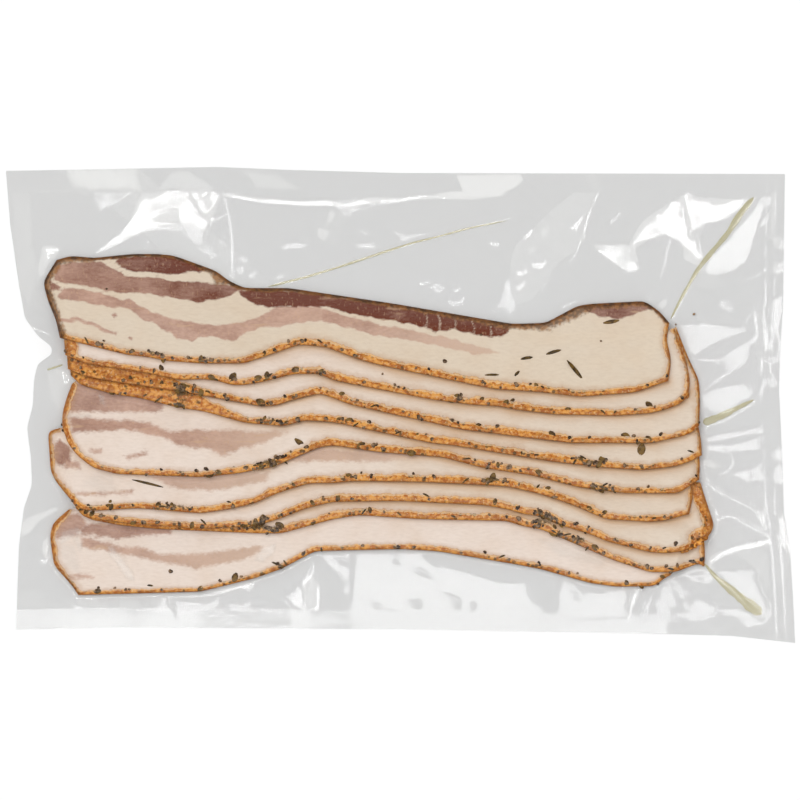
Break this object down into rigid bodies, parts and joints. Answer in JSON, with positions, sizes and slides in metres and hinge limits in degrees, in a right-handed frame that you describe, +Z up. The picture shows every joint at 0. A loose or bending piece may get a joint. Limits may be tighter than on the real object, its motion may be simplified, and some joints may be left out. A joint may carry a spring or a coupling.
{
  "type": "vacuum pack of sliced bacon",
  "caption": "Clear sealed vacuum pouch lying flat, holding shingled rashers of herb-crusted streaky bacon under creased film.",
  "frame": {"origin": "middle of the pack's flat back, on the surface it lies on", "axes": "+Z up out of the sliced side, +X along the pouch towards the rashers' narrow ends, +Y across it towards the top rasher's back edge"},
  "size_m": [0.3038, 0.1832, 0.0079],
  "materials": {
    "film": "clear glossy laminated film, creased",
    "bacon": "moist pale fat with mauve lean streaks and a baked orange-brown rind",
    "seasoning": "dried herbs and cracked pepper",
    "juice": "thin yellowish juice held in the creases of the film"
  },
  "bodies": {
    "root": {"sealed_bag": "film"}
  },
  "joints": []
}
